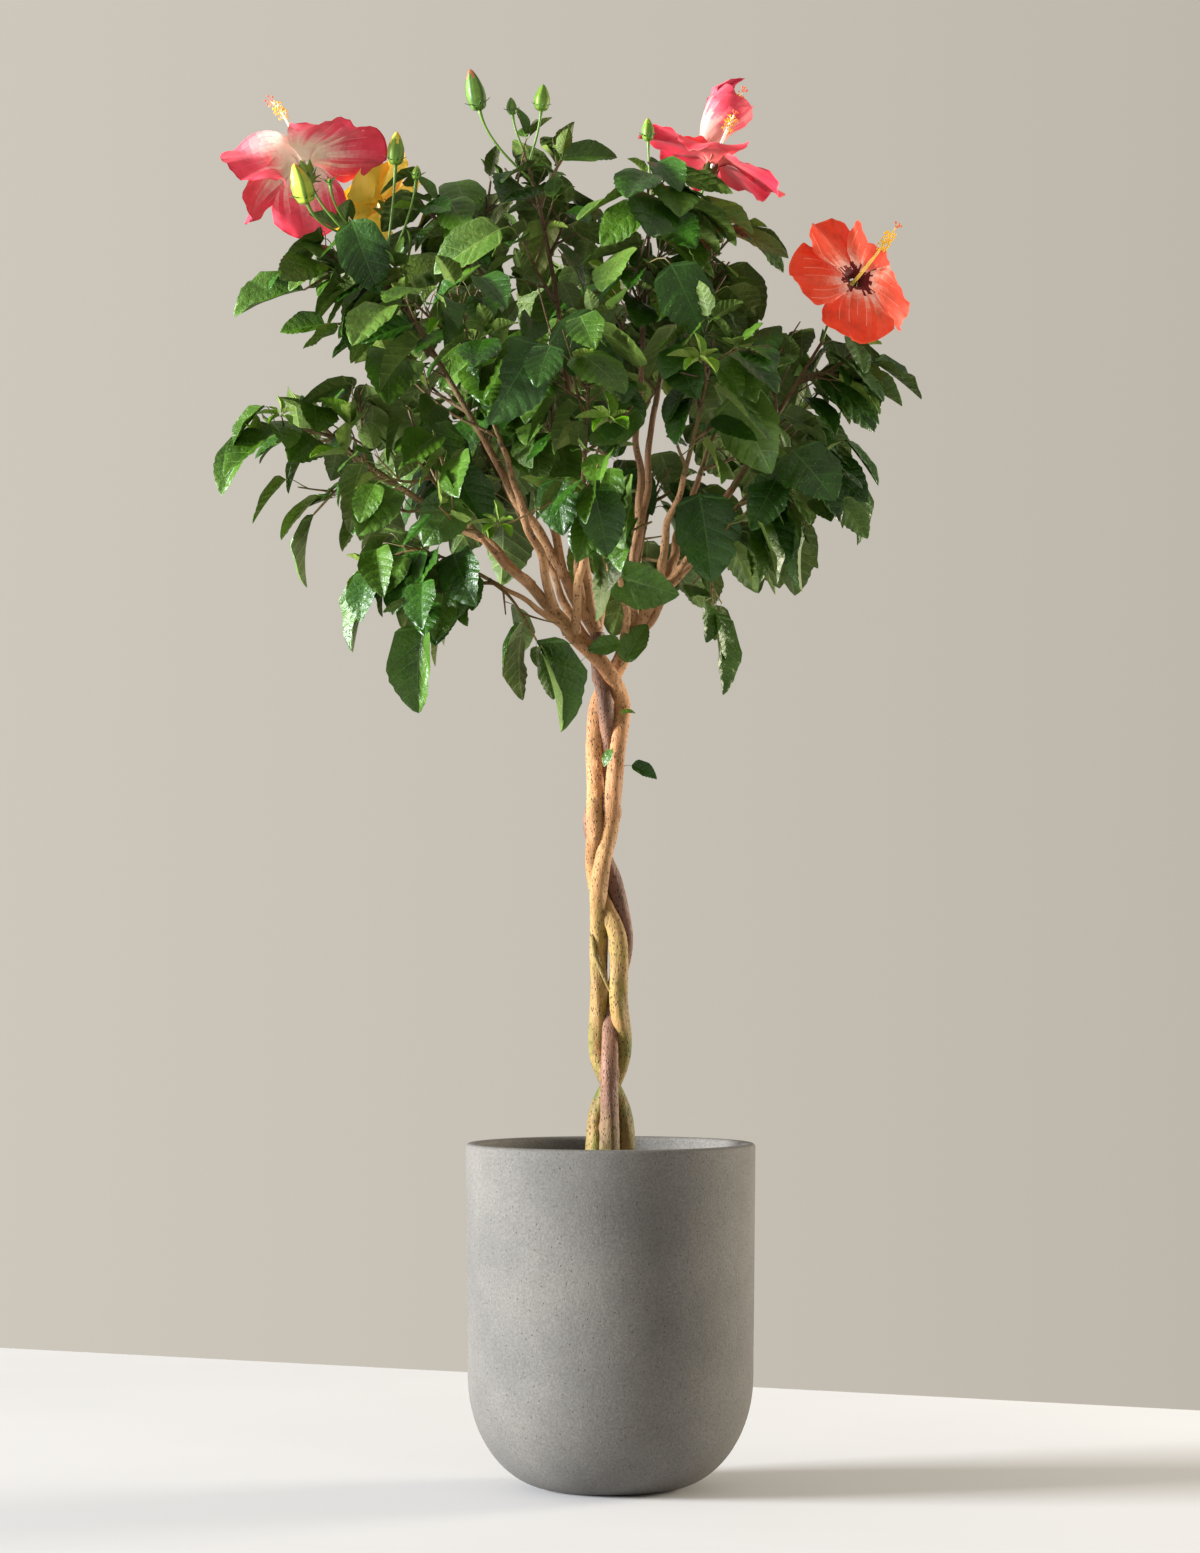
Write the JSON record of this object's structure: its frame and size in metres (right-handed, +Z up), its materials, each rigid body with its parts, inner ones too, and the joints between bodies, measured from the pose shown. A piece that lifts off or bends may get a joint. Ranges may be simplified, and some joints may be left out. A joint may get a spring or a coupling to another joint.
{
  "type": "potted tree",
  "caption": "Hibiscus tree on braided stems, with a round leafy crown, large open flowers and buds, standing in soil in a round-bottomed stone-look pot.",
  "frame": {"origin": "centre of the pot's flat underside", "axes": "+Z up along the trunk, -Y towards the viewer in front, +X to the right"},
  "size_m": [0.7338, 0.6099, 1.473],
  "materials": {
    "pot": "matt, fine-grained, faintly speckled and pitted",
    "soil": "loose crumbs of bark and peat, matt",
    "bark": "tan bark with fine darker dots, greenish towards the soil",
    "bark_dark": "purple-brown bark, greenish towards the soil",
    "leaf": "glossy above, matt and paler below, with sunk veins",
    "petal_coral": "soft, veined, paler towards the middle",
    "petal_yellow": "soft, faintly veined",
    "petal_pink": "soft, veined",
    "petal_closing": "soft, veined, rolled",
    "petal_orange": "soft, pale veins, dark red eye",
    "bud": "smooth, soft sheen"
  },
  "bodies": {
    "root": {"pot": "pot", "soil": "soil", "stem_left": "bark", "stem_right": "bark", "stem_dark": "bark_dark", "bough_left_outer": "bark", "bough_left_low": "bark", "bough_left_inner": "bark", "bough_upper_left": "bark", "bough_top": "bark", "bough_right": "bark", "bough_right_mid": "bark", "bough_right_low": "bark", "bough_upper_right": "bark", "bough_front_right": "bark", "bough_front": "bark", "bough_front_left": "bark", "bough_front_low": "bark", "bough_back": "bark", "bough_back_left": "bark", "bough_back_right": "bark", "bough_back_low": "bark", "bough_upper_mid": "bark", "bough_upper_front": "bark", "bough_middle": "bark", "leaves_left_outer": "leaf", "leaves_left_low": "leaf", "leaves_left_inner": "leaf", "leaves_upper_left": "leaf", "leaves_top": "leaf", "leaves_right": "leaf", "leaves_right_mid": "leaf", "leaves_right_low": "leaf", "leaves_upper_right": "leaf", "leaves_front_right": "leaf", "leaves_front": "leaf", "leaves_front_left": "leaf", "leaves_front_low": "leaf", "leaves_back": "leaf", "leaves_back_left": "leaf", "leaves_back_right": "leaf", "leaves_back_low": "leaf", "leaves_upper_mid": "leaf", "leaves_upper_front": "leaf", "leaves_middle": "leaf", "bloom_coral": "petal_coral", "bloom_yellow": "petal_yellow", "bloom_pink": "petal_pink", "bloom_closing": "petal_closing", "bloom_orange": "petal_orange", "bud_tall": "bud", "bud_middle": "bud", "bud_short": "bud", "bud_coral": "bud", "bud_gold": "bud"}
  },
  "joints": []
}
